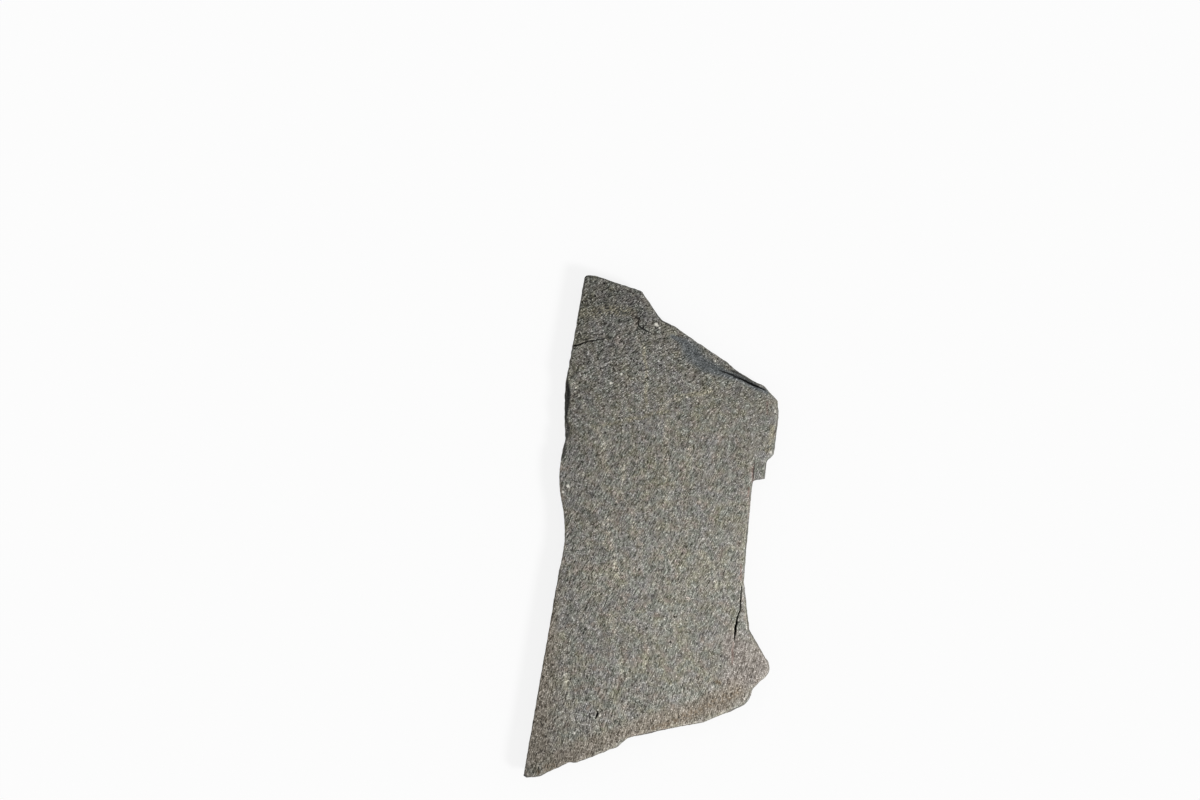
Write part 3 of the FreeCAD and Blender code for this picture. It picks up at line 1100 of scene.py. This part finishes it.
# %% Put the finish together
QUARTZ_WHITE = (0.7, 0.68, 0.61, 1)
QUARTZ_COVER = 0.9
FINEST = {"size": 1.2 * MM, "detail": 2, "roughness": 0.65}
FINEST_WEIGHT = 0.3
COMBED_WEIGHT = 0.75
BUMP_HEIGHT = 1.3 * MM
ROUGHNESS = 0.72
GRAIN_ROUGHNESS = 0.2
STONE_SHEEN = 0.3


def put_together(skin, tone, tint):
    """Joins the tone, the tint and the finest grain in one shader, and makes it the finish's surface."""
    grey = tone.add("CombineColor", None, {0: tone, 1: tone, 2: tone})
    settings = {"data_type": "RGBA", "blend_type": "MULTIPLY"}
    colour = tone.add("Mix", settings, {0: 1.0, 6: grey, 7: tint}, 2)
    colour = mixed(skin.white_grains * QUARTZ_COVER, colour, QUARTZ_WHITE)
    fine = skin.combed * COMBED_WEIGHT + speckle(skin.place, **FINEST) * FINEST_WEIGHT
    shader = tone.add(
        "BsdfPrincipled",
        None,
        {
            "Base Color": colour,
            "Roughness": ROUGHNESS + skin.grains * GRAIN_ROUGHNESS,
            "Normal": fine.add("Bump", None, {"Strength": 1.0, "Distance": BUMP_HEIGHT, "Height": fine}),
            "Specular IOR Level": STONE_SHEEN,
        },
    )
    shader.add("OutputMaterial", None, {"Surface": shader})


put_together(skin, tone, tint)
stone.data.materials.append(finish)
work_on(stone)
bpy.ops.object.shade_smooth()
print("nodes in the whole finish:", len(finish.node_tree.nodes))

# %% [markdown]
# ## The place of the stone in the frame
#
# The dressed stone stands for the plain solid, rides on its body and takes the record's stone finish. The
# rulers have done their work and are put away.

# %% Hand the stone to the frame
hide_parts(NODE)
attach(stone, "root")
for helper in (plain, slanted, bedding):
    bpy.data.objects.remove(helper)
print("pieces that stand for", NODE + ":", stone.name)

# %% [markdown]
# ## The floor
#
# The stone lies on a plain white floor. A white sheet alone would come out grey where little light falls on
# it. So the floor is mostly its own white to the camera, which leaves a faint shadow beside the stone, and
# plain paper to the light that it throws back on the rim.

# %% Lay the floor
FLOOR_REACH = 14.0
FLOOR_GAP = 0.1 * MM
FLOOR_GREY = (0.8, 0.8, 0.8, 1)
WHITE = (1, 1, 1, 1)
FLOOR_GLOW = 0.85

bpy.ops.object.select_all(action="DESELECT")
bpy.ops.mesh.primitive_plane_add(size=FLOOR_REACH, location=(0, 0, -FLOOR_GAP))
floor = bpy.context.object
floor.name = "floor"
paper = bpy.data.materials.new("floor_white")
paper.use_nodes = True
paper.node_tree.nodes.clear()
ray = Shade(paper.node_tree).add("LightPath", None, None, "Is Camera Ray")
seen = ray.maths("MAXIMUM", ray, ray.also("Is Glossy Ray"))
seen = ray.maths("MAXIMUM", seen, ray.also("Is Transmission Ray"))
diffuse = ray.add("BsdfDiffuse", None, {"Color": FLOOR_GREY})
glow = ray.add("Emission", None, {"Color": WHITE, "Strength": 1.0})
surface = ray.add("MixShader", None, {0: seen * FLOOR_GLOW, 1: diffuse, 2: glow})
ray.add("OutputMaterial", None, {"Surface": surface})
floor.data.materials.append(paper)
print("floor, metres across:", FLOOR_REACH)

# %% [markdown]
# ## The light
#
# Out of doors, sun and sky light a stone together. One soft sun stands half-way up on the heel's side, so
# that it shades the grain but draws no hard lines along the rim, and a pale sky fills the shadows. To the
# camera the sky is plain white.

# %% Set the lamp and the sky
KEY_AZIMUTH = math.radians(-32)
KEY_HEIGHT = math.radians(46)
KEY_DISTANCE = 4.0
KEY_STRENGTH = 2.35
KEY_SOFTNESS = math.radians(14)
SKY_STRENGTH = 0.5

toward = Vector((
    math.cos(KEY_AZIMUTH) * math.cos(KEY_HEIGHT),
    math.sin(KEY_AZIMUTH) * math.cos(KEY_HEIGHT),
    math.sin(KEY_HEIGHT),
))
bpy.ops.object.light_add(type="SUN", location=toward * KEY_DISTANCE)
key = bpy.context.object
key.name = "key_lamp"
key.rotation_euler = toward.to_track_quat("Z", "Y").to_euler()
key.data.energy = KEY_STRENGTH
key.data.angle = KEY_SOFTNESS
sky = bpy.data.worlds.new("studio")
bpy.context.scene.world = sky
sky.use_nodes = True
sky.node_tree.nodes.clear()
direct = Shade(sky.node_tree).add("LightPath", None, None, "Is Camera Ray")
fill = direct.add("Background", None, {"Color": WHITE, "Strength": SKY_STRENGTH})
backdrop = direct.add("Background", None, {"Color": WHITE, "Strength": 1.0})
both = direct.add("MixShader", None, {0: direct, 1: fill, 2: backdrop})
direct.add("OutputWorld", None, {"Surface": both})
print("lamp strength:", KEY_STRENGTH, "sky strength:", SKY_STRENGTH)

# %% [markdown]
# ## The camera
#
# The stone is seen from straight above. A camera without perspective would hide the leaning rim, and a short
# lens would show too much of it, so a long lens looks down from a good way off. Its distance is worked out
# from the width that it should see at the height of the stone's belly.

# %% Point the camera straight down
LENS = 200.0
SENSOR = 36.0
VIEW_WIDTH = 1.560
VIEW_MIDDLE = Vector((-0.0663, 0.1643, 0))
BELLY = 21 * MM
VIEW_END = 100.0

height = BELLY + VIEW_WIDTH * LENS / SENSOR
bpy.ops.object.camera_add(location=VIEW_MIDDLE + Vector((0, 0, height)), rotation=(0, 0, 0))
camera = bpy.context.object
camera.name = "camera"
camera.data.lens = LENS
camera.data.sensor_width = SENSOR
camera.data.clip_end = VIEW_END
bpy.context.scene.camera = camera
bpy.context.scene.view_settings.view_transform = "Standard"
print("camera height, metres:", round(height, 3))
